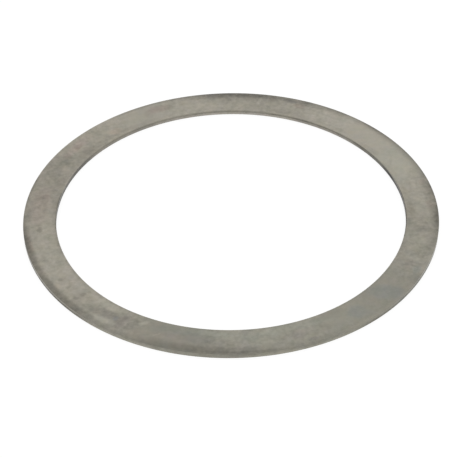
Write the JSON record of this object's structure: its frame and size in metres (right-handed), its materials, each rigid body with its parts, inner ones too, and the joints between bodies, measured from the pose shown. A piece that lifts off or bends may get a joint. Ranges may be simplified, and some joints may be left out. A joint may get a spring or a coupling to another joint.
{
  "type": "gearbox washer",
  "caption": "Thin flat steel adjusting washer for a gearbox shaft: a narrow round ring with a wide plain bore and a rolled-over upper edge at rim and bore.",
  "frame": {"origin": "centre of the bottom face, on the axis of the bore", "axes": "+Z along the bore's axis, up through the face with the rolled-over edges; X and Y are free, as the ring is round"},
  "size_m": [0.095, 0.095, 0.0012],
  "materials": {
    "bare_steel": "bare cold-rolled steel, dull satin with a grey-brown cast, handling stains and a darker rolled edge"
  },
  "bodies": {
    "root": {"shim_washer": "bare_steel"}
  },
  "joints": []
}
